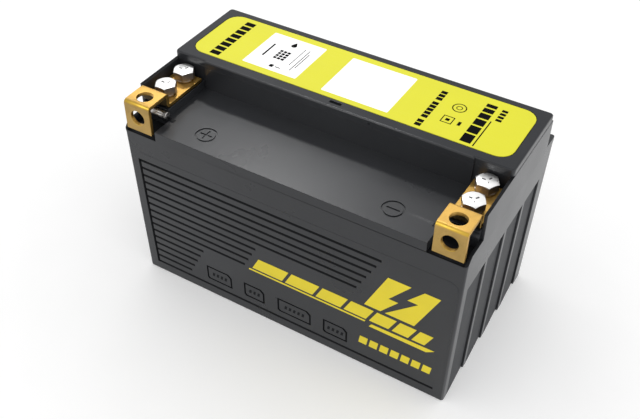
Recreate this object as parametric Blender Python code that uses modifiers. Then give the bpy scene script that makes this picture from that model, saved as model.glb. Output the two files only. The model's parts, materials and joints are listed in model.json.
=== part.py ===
"""Sealed 12 V motorcycle battery, in metres with +Z up.

The origin is the middle of the underside. +X runs along the length, and -Y is the grooved front.
Six cells stand in a row along X. Cell 1 is at the positive end, -X.
"""
import math

import bmesh
import bpy
from mathutils import Matrix, Vector

# Case
LENGTH = 0.150
DEPTH = 0.085
JAR_TOP = 0.0771
SHELF_Z = 0.0820
REAR_LEDGE_Z = 0.0795
DRAFT = 0.0014
CORNER_RADIUS = 0.0010
BASE_ROUNDING = 0.0003
FLOOR = 0.0025
GAP = 0.0003

# Cells
CELLS = 6
CELL_BANK_LENGTH = 0.1418
CELL_DEPTH = 0.0772
PARTITION = 0.0016
PARTITION_TOP = 0.0730
CELL_LENGTH = (CELL_BANK_LENGTH - (CELLS - 1) * PARTITION) / CELLS
CELL_PITCH = CELL_LENGTH + PARTITION
RIM_LENGTH = 0.1448
RIM_DEPTH = 0.0800

# Plates, lugs and straps
POSITIVE_PLATES = 3
NEGATIVE_PLATES = 4
POSITIVE_PLATE = 0.0017
NEGATIVE_PLATE = 0.0013
SEPARATOR = 0.0012
PLATE_WIDTH = 0.0715
PLATE_BOTTOM = 0.0040
PLATE_TOP = 0.0600
STRAP_Y = 0.01775
STRAP_WIDTH = 0.0100
STRAP_LOW = 0.0630
STRAP_HIGH = 0.0690
LUG_THICKNESS = 0.0012
WELD_Z = 0.0660
WELD_RADIUS = 0.0027

# Raised ridge and top cover
RIDGE_FRONT = -0.0066
RIDGE_REAR = 0.0337
RIDGE_TOP = 0.0923
RIDGE_STEP = 0.0007
RIDGE_CENTRE_LENGTH = 0.1194
RIDGE_WALL = 0.0016
RIDGE_END_WALL = 0.0028
WELL_FLOOR_TOP = 0.0840
SKIRT_DROP = 0.0018
SKIRT_ROOT = 0.0008
SKIRT_WALL = 0.0015
LID_LENGTH = 0.1498
LID_FRONT = -0.0069
LID_REAR = 0.0336
LID_BOTTOM = 0.0926
LID_TOP = 0.0957
LID_CORNER = 0.0015
LID_ROUNDING = 0.0007
LID_PLATE = 0.0018
LABEL_FRONT = -0.0024
LABEL_REAR = 0.0301
LABEL_LENGTH = 0.1415
LABEL_RADIUS = 0.0060
LABEL_THICKNESS = 0.00025
LABEL_RECESS = 0.0006

# Filling necks and valve caps
NECK_Y = 0.0130
NECK_RADIUS = 0.0050
NECK_BORE = 0.0035
NECK_TOP = 0.0891
CAP_RADIUS = 0.0064
CAP_BORE = 0.0054
CAP_BOTTOM = 0.0850
CAP_TOP = 0.0906
CAP_CROWN = 0.0012

# Corner terminals
TERMINAL_X = 0.0672
TERMINAL_WIDTH = 0.0122
SHEET = 0.0016
BEND_RADIUS = 0.0009
TERMINAL_FRONT = -0.0424
TERMINAL_TOP = 0.0926
FLANGE_BOTTOM = 0.0793
STRIP_TOP = 0.0873
STRIP_REAR = -0.0083
RISER_Y = -0.0304
TERMINAL_HOLE_RADIUS = 0.00335
TOP_HOLE_Y = -0.0366
FRONT_HOLE_Z = 0.0858
BOLT_Y = (-0.0118, -0.0237)
NOTCH_INNER = 0.0593
NOTCH_FLOOR = 0.0776
PEDESTAL_INNER = 0.0609
PEDESTAL_FRONT = -0.0313
PEDESTAL_TOP = 0.0853
END_WALL_INNER = 0.0737
END_WALL_FRONT = -0.0300
END_WALL_LOW = 0.0810
END_WALL_SLOPE_Y = -0.0394

# Bolts and lock washers, M5
SHANK_RADIUS = 0.0024
SHANK_HOLE_RADIUS = 0.0027
SHANK_END = 0.0806
HEAD_FLATS = 0.0080
HEAD_HEIGHT = 0.0033
HEAD_CHAMFER = 0.0007
WASHER_OUTER = 0.0042
WASHER_INNER = 0.0028
WASHER_THICKNESS = 0.0009
WASHER_SLIT = 0.0010
STACK_GAP = 0.00015

# Posts, seals and nut pins
POST_LENGTH = 0.0100
POST_FRONT = -0.0286
POST_REAR = -0.0085
POST_BOTTOM = 0.0800
POST_TOP = 0.0853
POCKET_CLEARANCE = 0.0004
POCKET_FLOOR = 0.0797
STUB_X = 0.0660
STUB_RADIUS = 0.0030
STUB_BOTTOM = 0.0693
SEAL_RADIUS = 0.0043
SEAL_THICKNESS = 0.0006
SEAL_SEAT = 0.0018
PIN_RADIUS = 0.0016
PIN_OUTER = 0.0692
PIN_INNER = 0.0602
PIN_Y = -0.0327
PIN_Z = 0.0836
PIN_GROOVE_RADIUS = 0.0020

# Moulded detail
GROOVE_TOP = 0.0638
GROOVE_PITCH = 0.00391
GROOVE_HALF = 0.00065
GROOVE_DEPTH = 0.0010
GROOVE_LEFT = -0.0697
GROOVE_SLOPE = 0.5
GROOVE_GROUPS = ((6, 0.0426), (4, -0.0139), (5, -0.0415))
BOTTOM_GROOVE_END = 0.0688
END_PANELS = 4
END_PANEL_PITCH = 0.0184
END_PANEL_START = -0.0375
END_PANEL_TOP = 0.0625
END_PANEL_DEPTH = 0.0009
END_PANEL_RIB = 0.0022
ICON_FRAMES = ((-0.0341, 0.0131), (-0.0160, 0.0104), (0.0040, 0.0164), (0.0238, 0.0115))
ICON_FRAME_Z = 0.0129
ICON_FRAME_HEIGHT = 0.0080
ICON_FRAME_LINE = 0.0008
ICON_FRAME_DEPTH = 0.0005
MARK_X = 0.0412
MARK_Y = -0.0330
MARK_RADIUS = 0.0045
MARK_LINE = 0.0008
MARK_DEPTH = 0.0004
SLOT_CENTRE = (0.0005, -0.0045)
SLOT_SIZE = (0.0052, 0.0016, 0.0012)

PARTS = "motorcycle_battery"
CUTTERS = "cutters"
ROUND_STEPS = 24
OVERCUT = 0.004


def clear_scene():
    for item in list(bpy.data.objects):
        bpy.data.objects.remove(item, do_unlink=True)
    for name in (PARTS, CUTTERS):
        if name in bpy.data.collections:
            bpy.data.collections.remove(bpy.data.collections[name])
        bpy.context.scene.collection.children.link(bpy.data.collections.new(name))


def make_material(name, colour, roughness, metallic=0.0):
    material = bpy.data.materials.new(name)
    material.use_nodes = True
    shader = material.node_tree.nodes["Principled BSDF"]
    shader.inputs["Base Color"].default_value = (*colour, 1.0)
    shader.inputs["Roughness"].default_value = roughness
    shader.inputs["Metallic"].default_value = metallic
    return material


def put(name, mesh, material=None, location=(0, 0, 0), rotation=(0, 0, 0)):
    """Link a mesh as a part, or as a hidden wire cutter when it has no material."""
    piece = bpy.data.objects.new(name, mesh)
    piece.location = location
    piece.rotation_euler = rotation
    if material is None:
        bpy.data.collections[CUTTERS].objects.link(piece)
        piece.hide_render = True
        piece.display_type = "WIRE"
        return piece
    bpy.data.collections[PARTS].objects.link(piece)
    if not mesh.materials:
        mesh.materials.append(material)
    return piece


def finish_mesh(name, bm, smooth=False):
    bmesh.ops.recalc_face_normals(bm, faces=bm.faces)
    mesh = bpy.data.meshes.new(name)
    bm.to_mesh(mesh)
    bm.free()
    if smooth:
        mesh.shade_smooth()
        mesh.set_sharp_from_angle(angle=math.radians(40))
    return mesh


def add_box(bm, low, high):
    """Add a closed box between two corners to a bmesh."""
    low, high = Vector(low), Vector(high)
    size = high - low
    matrix = Matrix.Translation((low + high) / 2) @ Matrix.Diagonal((*size, 1.0))
    bmesh.ops.create_cube(bm, size=1.0, matrix=matrix)


def boxes_mesh(name, corners):
    bm = bmesh.new()
    for low, high in corners:
        add_box(bm, low, high)
    return finish_mesh(name, bm)


def add_rod(bm, radius, start, end, sides=ROUND_STEPS):
    """Add a closed cylinder whose axis runs from start to end."""
    start, end = Vector(start), Vector(end)
    along = end - start
    turn = along.to_track_quat("Z", "Y").to_matrix().to_4x4()
    matrix = Matrix.Translation((start + end) / 2) @ turn
    bmesh.ops.create_cone(
        bm, cap_ends=True, segments=sides, radius1=radius, radius2=radius,
        depth=along.length, matrix=matrix,
    )


def rods_mesh(name, rods, sides=ROUND_STEPS, smooth=True):
    bm = bmesh.new()
    for radius, start, end in rods:
        add_rod(bm, radius, start, end, sides)
    return finish_mesh(name, bm, smooth)


def slab_mesh(name, ring, low, high, rounding=0.0):
    """Raise one outline from low to high, and round its top edge."""
    bm = bmesh.new()
    base = bm.faces.new([bm.verts.new((x, y, low)) for x, y in ring])
    grown = bmesh.ops.extrude_face_region(bm, geom=[base])["geom"]
    moved = [item for item in grown if isinstance(item, bmesh.types.BMVert)]
    bmesh.ops.translate(bm, verts=moved, vec=(0, 0, high - low))
    if rounding:
        rim = [edge for edge in bm.edges if min(vert.co.z for vert in edge.verts) > high - 1e-6]
        bmesh.ops.bevel(bm, geom=rim, offset=rounding, segments=2, profile=0.5, affect="EDGES")
    return finish_mesh(name, bm)


def outline_mesh(name, rings, thickness):
    """Fill flat rings (the first outside, the others holes) and make them a slab about z = 0."""
    curve = bpy.data.curves.new(name, "CURVE")
    curve.dimensions = "2D"
    curve.fill_mode = "BOTH"
    curve.extrude = thickness / 2
    for ring in rings:
        spline = curve.splines.new("POLY")
        spline.points.add(len(ring) - 1)
        for point, (x, y) in zip(spline.points, ring):
            point.co = (x, y, 0.0, 1.0)
        spline.use_cyclic_u = True
    holder = bpy.data.objects.new(name, curve)
    bpy.context.scene.collection.objects.link(holder)
    evaluated = holder.evaluated_get(bpy.context.evaluated_depsgraph_get())
    mesh = bpy.data.meshes.new_from_object(evaluated)
    bpy.data.objects.remove(holder, do_unlink=True)
    bm = bmesh.new()
    bm.from_mesh(mesh)
    bpy.data.meshes.remove(mesh)
    bmesh.ops.remove_doubles(bm, verts=bm.verts, dist=1e-6)
    bmesh.ops.dissolve_limit(bm, angle_limit=math.radians(0.5), verts=bm.verts, edges=bm.edges)
    return finish_mesh(name, bm)


def arc(centre, radius, start, end, steps):
    """Points on an arc, with the angles in degrees."""
    points = []
    for step in range(steps + 1):
        angle = math.radians(start + (end - start) * step / steps)
        points.append((centre[0] + radius * math.cos(angle), centre[1] + radius * math.sin(angle)))
    return points


def rounded_rectangle(low, high, radius, steps=5):
    corners = (
        ((high[0] - radius, high[1] - radius), 0),
        ((low[0] + radius, high[1] - radius), 90),
        ((low[0] + radius, low[1] + radius), 180),
        ((high[0] - radius, low[1] + radius), 270),
    )
    points = []
    for centre, start in corners:
        points += arc(centre, radius, start, start + 90, steps)
    return points


def combine(piece, tool, operation):
    modifier = piece.modifiers.new(tool.name, "BOOLEAN")
    modifier.operation = operation
    modifier.solver = "EXACT"
    modifier.object = tool


def cut(piece, *tools):
    for tool in tools:
        combine(piece, tool, "DIFFERENCE")


def join(piece, *tools):
    for tool in tools:
        combine(piece, tool, "UNION")


def half_length(z):
    return LENGTH / 2 - DRAFT * (1 - z / SHELF_Z)


def half_depth(z):
    return DEPTH / 2 - DRAFT * (1 - z / SHELF_Z)


def cell_centre(index):
    return (index - (CELLS - 1) / 2) * CELL_PITCH


def mirrored_box(low, high):
    """A box beside the +X end and its reflection at the -X end."""
    return [(low, high), ((-high[0], low[1], low[2]), (-low[0], high[1], high[2]))]


def jar_blank():
    """The drafted block that the jar is cut from, with rounded corners and a rounded base."""
    bm = bmesh.new()
    bmesh.ops.create_cube(bm, size=2.0)
    for vert in bm.verts:
        z = JAR_TOP if vert.co.z > 0 else 0.0
        vert.co = (vert.co.x * half_length(z), vert.co.y * half_depth(z), z)
    upright = [edge for edge in bm.edges if abs(edge.verts[0].co.z - edge.verts[1].co.z) > JAR_TOP / 2]
    bmesh.ops.bevel(bm, geom=upright, offset=CORNER_RADIUS, segments=4, profile=0.5, affect="EDGES")
    base = [edge for edge in bm.edges if max(vert.co.z for vert in edge.verts) < 1e-6]
    bmesh.ops.bevel(bm, geom=base, offset=BASE_ROUNDING, segments=2, profile=0.5, affect="EDGES")
    return finish_mesh("case_jar", bm)


def cavity_tools():
    """The common rim above the partitions, the six cells, and the holes for the cell welds."""
    rim = boxes_mesh("rim_cut", [(
        (-RIM_LENGTH / 2, -RIM_DEPTH / 2, PARTITION_TOP),
        (RIM_LENGTH / 2, RIM_DEPTH / 2, JAR_TOP + OVERCUT),
    )])
    cells = boxes_mesh("cell_cut", [(
        (cell_centre(index) - CELL_LENGTH / 2, -CELL_DEPTH / 2, FLOOR),
        (cell_centre(index) + CELL_LENGTH / 2, CELL_DEPTH / 2, PARTITION_TOP + OVERCUT / 2),
    ) for index in range(CELLS)])
    reach = PARTITION / 2 + OVERCUT / 2
    welds = rods_mesh("weld_hole_cut", [(
        WELD_RADIUS + GAP,
        (weld_place(index)[0] - reach, weld_place(index)[1], WELD_Z),
        (weld_place(index)[0] + reach, weld_place(index)[1], WELD_Z),
    ) for index in range(CELLS - 1)], sides=12)
    return [put(mesh.name, mesh) for mesh in (rim, cells, welds)]


def weld_place(index):
    """Where cell index and the next are joined: in their partition, on alternate sides."""
    side = 1 if index % 2 == 0 else -1
    return cell_centre(index) + CELL_PITCH / 2, side * STRAP_Y


def add_groove(bm, start, end, across):
    """Add a four-sided bar: GROOVE_HALF to either side along across, and GROOVE_DEPTH along Y."""
    start, end = Vector(start), Vector(end)
    columns = (Vector(across) * GROOVE_HALF, Vector((0, GROOVE_DEPTH, 0)), end - start)
    matrix = Matrix.Translation((start + end) / 2) @ Matrix(columns).transposed().to_4x4()
    bmesh.ops.create_cone(bm, cap_ends=True, segments=4, radius1=1.0, radius2=1.0, depth=1.0, matrix=matrix)


def groove_tools():
    """V-grooves on the front: three groups that end on a slant, a left edge and a bottom edge."""
    upright, level = (0, 0, 1), (1, 0, 0)
    rows = bmesh.new()
    row = 0
    for count, first_end in GROOVE_GROUPS:
        for step in range(count):
            z = GROOVE_TOP - row * GROOVE_PITCH
            end = first_end - GROOVE_SLOPE * step * GROOVE_PITCH
            start = GROOVE_LEFT + DRAFT * (1 - z / SHELF_Z)
            add_groove(rows, (start, -half_depth(z), z), (end, -half_depth(z), z), upright)
            row += 1

    bottom = GROOVE_TOP - row * GROOVE_PITCH
    corner = GROOVE_LEFT + DRAFT * (1 - bottom / SHELF_Z)
    edge = bmesh.new()
    high = GROOVE_TOP + GROOVE_HALF
    low = bottom - GROOVE_HALF
    add_groove(edge, (GROOVE_LEFT, -half_depth(high), high), (corner, -half_depth(low), low), level)
    lower = bmesh.new()
    face = -half_depth(bottom)
    add_groove(lower, (corner, face, bottom), (BOTTOM_GROOVE_END, face, bottom), upright)
    named = (("groove_cut", rows), ("left_groove_cut", edge), ("bottom_groove_cut", lower))
    return [put(name, finish_mesh(name, bm)) for name, bm in named]


def end_panel_tools():
    """Sawtooth panels on both ends: each starts flush at its front and is deepest at its rear."""
    outside = OVERCUT / 2
    bm = bmesh.new()
    for panel in range(END_PANELS):
        front = END_PANEL_START + panel * END_PANEL_PITCH
        rear = front + END_PANEL_PITCH - END_PANEL_RIB
        ring = [(outside, front), (outside, rear), (-END_PANEL_DEPTH, rear), (0.0, front)]
        mesh = outline_mesh("tooth", [ring], END_PANEL_TOP + OVERCUT)
        bm.from_mesh(mesh)
        bpy.data.meshes.remove(mesh)
    teeth = finish_mesh("end_panel_cut", bm)
    lean = math.atan2(DRAFT, SHELF_Z)
    middle = (END_PANEL_TOP - OVERCUT) / 2
    right = put("right_panel_cut", teeth, location=(half_length(middle), 0, middle), rotation=(0, lean, 0))
    left_mesh = teeth.copy()
    left_mesh.transform(Matrix.Diagonal((-1, 1, 1, 1)))
    left_mesh.flip_normals()
    place = (-half_length(middle), 0, middle)
    left = put("left_panel_cut", left_mesh, location=place, rotation=(0, -lean, 0))
    return [right, left]


def icon_frame_tool():
    """Four fine engraved frames with one clipped corner, low on the front."""
    bm = bmesh.new()
    for centre, width in ICON_FRAMES:
        rings = []
        for inset in (0.0, ICON_FRAME_LINE):
            x = width / 2 - inset
            z = ICON_FRAME_HEIGHT / 2 - inset
            clip = ICON_FRAME_HEIGHT / 5
            low_left = [(-x, -z + clip / 2), (-x + clip / 2, -z)]
            top_right = [(x, z - clip), (x - clip, z)]
            rings.append([(-x, z), *low_left, (x, -z), *top_right])
        mesh = outline_mesh("frame", rings, 2 * ICON_FRAME_DEPTH)
        mesh.transform(Matrix.Translation((centre, 0, 0)))
        bm.from_mesh(mesh)
        bpy.data.meshes.remove(mesh)
    lean = math.radians(90) + math.atan2(DRAFT, SHELF_Z)
    place = (0, -half_depth(ICON_FRAME_Z), ICON_FRAME_Z)
    return put("icon_frame_cut", finish_mesh("icon_frame_cut", bm), location=place, rotation=(lean, 0, 0))


def build_jar(plastic):
    jar = put("case_jar", jar_blank(), plastic)
    cut(jar, *cavity_tools(), *groove_tools(), *end_panel_tools(), icon_frame_tool())


def cover_solids():
    """The blocks that are joined into the cover, apart from its base slab."""
    wall_high = (LENGTH / 2, RIDGE_FRONT + OVERCUT, RIDGE_TOP)
    plug = ((-RIM_LENGTH / 2 + GAP, -RIM_DEPTH / 2 + GAP, PARTITION_TOP + GAP),
            (RIM_LENGTH / 2 - GAP, RIM_DEPTH / 2 - GAP, NOTCH_FLOOR + GAP))
    ridge = ((-LENGTH / 2, RIDGE_FRONT, NOTCH_FLOOR + GAP), (LENGTH / 2, RIDGE_REAR, RIDGE_TOP))
    centre = ((-RIDGE_CENTRE_LENGTH / 2, RIDGE_FRONT - RIDGE_STEP, NOTCH_FLOOR + GAP),
              (RIDGE_CENTRE_LENGTH / 2, RIDGE_FRONT + OVERCUT, RIDGE_TOP))
    pedestals = mirrored_box((PEDESTAL_INNER, PEDESTAL_FRONT, NOTCH_FLOOR + GAP),
                             (END_WALL_INNER + GAP, RIDGE_FRONT + OVERCUT, PEDESTAL_TOP))
    walls = mirrored_box((END_WALL_INNER, END_WALL_FRONT, NOTCH_FLOOR + GAP), wall_high)
    return [
        put("plug_solid", boxes_mesh("plug_solid", [plug])),
        put("ridge_solid", boxes_mesh("ridge_solid", [ridge])),
        put("ridge_centre_solid", boxes_mesh("ridge_centre_solid", [centre])),
        put("pedestal_solid", boxes_mesh("pedestal_solid", pedestals)),
        put("end_wall_solid", boxes_mesh("end_wall_solid", walls)),
    ]


def terminal_corner_tools():
    """The notch under each terminal, and the end wall stepped down and sloped beside it."""
    notch = boxes_mesh("notch_cut", mirrored_box(
        (NOTCH_INNER, -DEPTH / 2 - OVERCUT, NOTCH_FLOOR), (END_WALL_INNER, PEDESTAL_FRONT, LID_TOP)))
    slope_end = END_WALL_SLOPE_Y - (END_WALL_LOW - NOTCH_FLOOR)
    front = -DEPTH / 2 - OVERCUT
    ring = [(END_WALL_FRONT, LID_TOP), (END_WALL_FRONT, END_WALL_LOW), (END_WALL_SLOPE_Y, END_WALL_LOW),
            (slope_end, NOTCH_FLOOR), (front, NOTCH_FLOOR), (front, LID_TOP)]
    tools = [put("notch_cut", notch)]
    upright = Matrix(((0, 0, 1), (1, 0, 0), (0, 1, 0))).to_euler()
    for side in (-1, 1):
        mesh = outline_mesh("end_wall_cut", [ring], OVERCUT)
        place = (side * (END_WALL_INNER - GAP / 2 + OVERCUT / 2), 0, 0)
        tools.append(put("end_wall_cut", mesh, location=place, rotation=upright))
    return tools


def hollow_tools():
    """Space under the shelf and the well floor, and the open ridge above that floor."""
    skin = SHELF_Z - RIDGE_WALL
    side = RIM_DEPTH / 2 - RIDGE_WALL
    below = PARTITION_TOP - OVERCUT
    ridge_inner = RIDGE_FRONT + RIDGE_WALL
    ridge_outer = RIDGE_REAR - RIDGE_WALL
    reach = NOTCH_INNER - RIDGE_WALL
    inner = LENGTH / 2 - RIDGE_END_WALL
    shelf = ((-reach, -side, below), (reach, RIDGE_FRONT - RIDGE_WALL, skin))
    rear = ((-reach, RIDGE_REAR, below), (reach, side, REAR_LEDGE_Z - RIDGE_WALL))
    wells = ((-reach, RIDGE_FRONT, below), (reach, ridge_outer, WELL_FLOOR_TOP - RIDGE_WALL))
    upper = ((-inner, ridge_inner, WELL_FLOOR_TOP), (inner, ridge_outer, RIDGE_TOP + OVERCUT))
    ledge = ((-LENGTH, RIDGE_REAR, REAR_LEDGE_Z), (LENGTH, DEPTH, SHELF_Z + OVERCUT))
    places = (("shelf_hollow_cut", shelf), ("rear_hollow_cut", rear), ("well_hollow_cut", wells),
              ("ridge_hollow_cut", upper), ("rear_ledge_cut", ledge))
    return [put(name, boxes_mesh(name, [corners])) for name, corners in places]


def post_pocket_tools():
    """Pockets in the pedestals for the posts, with a seal seat, a stub hole and a pin groove."""
    half = POST_LENGTH / 2 + POCKET_CLEARANCE
    pocket = mirrored_box(
        (TERMINAL_X - half, POST_FRONT - POCKET_CLEARANCE, POCKET_FLOOR),
        (TERMINAL_X + half, POST_REAR + POCKET_CLEARANCE, PEDESTAL_TOP + OVERCUT),
    )
    seats, stubs, pins = [], [], []
    outer = SEAL_RADIUS + SEAL_THICKNESS + POCKET_CLEARANCE
    low = PARTITION_TOP - OVERCUT
    for side in (-1, 1):
        x = side * STUB_X
        middle = sum(BOLT_Y) / 2
        seats.append((outer, (x, middle, POCKET_FLOOR - SEAL_SEAT), (x, middle, POCKET_FLOOR + GAP)))
        stubs.append((STUB_RADIUS + POCKET_CLEARANCE, (x, middle, low), (x, middle, POCKET_FLOOR)))
        ends = sorted((side * (PEDESTAL_INNER - OVERCUT), side * END_WALL_INNER))
        pins.append((PIN_GROOVE_RADIUS, (ends[0], PIN_Y, PIN_Z), (ends[1], PIN_Y, PIN_Z)))
    return [
        put("post_pocket_cut", boxes_mesh("post_pocket_cut", pocket)),
        put("seal_seat_cut", rods_mesh("seal_seat_cut", seats)),
        put("stub_hole_cut", rods_mesh("stub_hole_cut", stubs)),
        put("pin_groove_cut", rods_mesh("pin_groove_cut", pins, sides=16)),
    ]


def polarity_tools():
    """Engraved ring with a plus at the positive end and a minus at the negative end."""
    rings, bars = bmesh.new(), []
    floor = SHELF_Z - MARK_DEPTH
    above = SHELF_Z + MARK_DEPTH
    arm = MARK_RADIUS * 0.6
    half = MARK_LINE / 2
    for side in (-1, 1):
        centre = (side * MARK_X, MARK_Y)
        circles = [arc(centre, MARK_RADIUS, 0, 350, 35), arc(centre, MARK_RADIUS - MARK_LINE, 0, 350, 35)]
        mesh = outline_mesh("ring", circles, 2 * MARK_DEPTH)
        rings.from_mesh(mesh)
        bpy.data.meshes.remove(mesh)
        bars.append(((centre[0] - arm, MARK_Y - half, floor), (centre[0] + arm, MARK_Y + half, above)))
    upper = ((-MARK_X - half, MARK_Y - arm, floor), (-MARK_X + half, MARK_Y + arm, above))
    return [
        put("ring_cut", finish_mesh("ring_cut", rings), location=(0, 0, SHELF_Z)),
        put("bar_cut", boxes_mesh("bar_cut", bars)),
        put("plus_cut", boxes_mesh("plus_cut", [upper])),
    ]


def build_cover(plastic):
    low = JAR_TOP + GAP
    ring = rounded_rectangle((-LENGTH / 2, -DEPTH / 2), (LENGTH / 2, DEPTH / 2), CORNER_RADIUS, steps=4)
    cover = put("mid_cover", slab_mesh("mid_cover", ring, low, SHELF_Z), plastic)
    join(cover, *cover_solids())
    cut(cover, *hollow_tools(), *terminal_corner_tools(), *post_pocket_tools(), *polarity_tools())
    necks, bores = [], []
    for index in range(CELLS):
        x = cell_centre(index)
        necks.append((NECK_RADIUS, (x, NECK_Y, WELL_FLOOR_TOP - GAP), (x, NECK_Y, NECK_TOP)))
        bores.append((NECK_BORE, (x, NECK_Y, PARTITION_TOP - OVERCUT), (x, NECK_Y, CAP_TOP)))
    join(cover, put("neck_solid", rods_mesh("neck_solid", necks, sides=20)))
    cut(cover, put("neck_bore_cut", rods_mesh("neck_bore_cut", bores, sides=16)))


def build_top_cover(plastic):
    """Plate with a rounded rim, a locating skirt inside the ridge, a label recess and a slot."""
    plan = rounded_rectangle((-LID_LENGTH / 2, LID_FRONT), (LID_LENGTH / 2, LID_REAR), LID_CORNER, steps=3)
    lid = put("top_cover", slab_mesh("top_cover", plan, LID_BOTTOM, LID_TOP, LID_ROUNDING), plastic)
    step = RIDGE_CENTRE_LENGTH / 2
    front = LID_FRONT - RIDGE_STEP
    nose = [(-step, front), (step, front), (step, LABEL_FRONT - GAP), (-step, LABEL_FRONT - GAP)]
    join(lid, put("nose_solid", slab_mesh("nose_solid", nose, LID_BOTTOM, LID_TOP, LID_ROUNDING)))

    inner = LENGTH / 2 - RIDGE_END_WALL - GAP
    front = RIDGE_FRONT + RIDGE_WALL + GAP
    rear = RIDGE_REAR - RIDGE_WALL - GAP
    skirt = ((-inner, front, LID_BOTTOM - SKIRT_DROP), (inner, rear, LID_BOTTOM + SKIRT_ROOT))
    hollow = ((-inner + SKIRT_WALL, front + SKIRT_WALL, LID_BOTTOM - OVERCUT),
              (inner - SKIRT_WALL, rear - SKIRT_WALL, LID_TOP - LID_PLATE))
    x, y = SLOT_CENTRE
    long, deep, down = SLOT_SIZE
    slot_low = (x - long / 2, y - deep / 2, LID_TOP - down)
    slot_high = (x + long / 2, y + deep / 2, LID_TOP + OVERCUT)
    half = LABEL_LENGTH / 2 + GAP
    recess_ring = rounded_rectangle(
        (-half, LABEL_FRONT - GAP), (half, LABEL_REAR + GAP), LABEL_RADIUS + GAP)
    recess = outline_mesh("label_recess_cut", [recess_ring], 2 * LABEL_RECESS)
    join(lid, put("skirt_solid", boxes_mesh("skirt_solid", [skirt])))
    cut(
        lid,
        put("lid_hollow_cut", boxes_mesh("lid_hollow_cut", [hollow])),
        put("label_recess_cut", recess, location=(0, 0, LID_TOP)),
        put("slot_cut", boxes_mesh("slot_cut", [(slot_low, slot_high)])),
    )


def build_label(film):
    half = LABEL_LENGTH / 2
    ring = rounded_rectangle((-half, LABEL_FRONT), (half, LABEL_REAR), LABEL_RADIUS)
    low = LID_TOP - LABEL_RECESS + GAP
    put("top_label", slab_mesh("top_label", ring, low, low + LABEL_THICKNESS), film)


def bracket_path():
    """Centre line of a terminal in Y and Z: strip, riser, top plate and front flange."""
    half = SHEET / 2
    strip_z = STRIP_TOP - half
    top_z = TERMINAL_TOP - half
    flange_y = TERMINAL_FRONT + half
    bend = BEND_RADIUS
    points = [(STRIP_REAR, strip_z)]
    points += arc((RISER_Y + bend, strip_z + bend), bend, 270, 180, 3)
    points += arc((RISER_Y - bend, top_z - bend), bend, 0, 90, 3)
    points += arc((flange_y + bend, top_z - bend), bend, 90, 180, 4)
    points.append((flange_y, FLANGE_BOTTOM))
    return points


def bracket_mesh():
    """The centre line drawn across the width as an open ribbon."""
    bm = bmesh.new()
    half = TERMINAL_WIDTH / 2
    line = [bm.verts.new((-half, y, z)) for y, z in bracket_path()]
    edges = [bm.edges.new(pair) for pair in zip(line, line[1:])]
    grown = bmesh.ops.extrude_edge_only(bm, edges=edges)["geom"]
    moved = [item for item in grown if isinstance(item, bmesh.types.BMVert)]
    bmesh.ops.translate(bm, verts=moved, vec=(TERMINAL_WIDTH, 0, 0))
    return finish_mesh("terminal", bm)


def build_terminals(brass):
    ribbon = bracket_mesh()
    high = TERMINAL_TOP + OVERCUT
    front = TERMINAL_FRONT - OVERCUT
    holes = [(TERMINAL_HOLE_RADIUS, (0, TOP_HOLE_Y, STRIP_TOP), (0, TOP_HOLE_Y, high)),
             (TERMINAL_HOLE_RADIUS, (0, front, FRONT_HOLE_Z), (0, TOP_HOLE_Y, FRONT_HOLE_Z))]
    seats = [(SHANK_HOLE_RADIUS, (0, y, SHANK_END), (0, y, high)) for y in BOLT_Y]
    for name, side in (("positive_terminal", -1), ("negative_terminal", 1)):
        place = (side * TERMINAL_X, 0, 0)
        terminal = put(name, ribbon, brass, location=place)
        sheet = terminal.modifiers.new("sheet", "SOLIDIFY")
        sheet.thickness = SHEET
        sheet.offset = 0.0
        sheet.use_even_offset = True
        top_hole = rods_mesh("top_hole_cut", holes[:1])
        front_hole = rods_mesh("front_hole_cut", holes[1:])
        seat_holes = rods_mesh("seat_hole_cut", seats, sides=16)
        for mesh in (top_hole, front_hole, seat_holes):
            cut(terminal, put(mesh.name, mesh, location=place))


def bolt_mesh():
    """Hexagon head with rounded top corners, its underside at z = 0, and a plain shank below."""
    head = bmesh.new()
    add_rod(head, HEAD_FLATS / math.sqrt(3), (0, 0, 0), (0, 0, HEAD_HEIGHT), sides=6)
    return finish_mesh("bolt_head", head)


def head_dome():
    """Turned envelope that trims the head's top corners."""
    radius = HEAD_FLATS / math.sqrt(3) + GAP
    low = -GAP
    bm = bmesh.new()
    add_rod(bm, radius, (0, 0, low), (0, 0, HEAD_HEIGHT), sides=ROUND_STEPS)
    rim = [edge for edge in bm.edges if min(vert.co.z for vert in edge.verts) > HEAD_HEIGHT - 1e-6]
    bmesh.ops.bevel(bm, geom=rim, offset=HEAD_CHAMFER + GAP, segments=2, profile=0.5, affect="EDGES")
    return finish_mesh("head_dome", bm)


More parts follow.
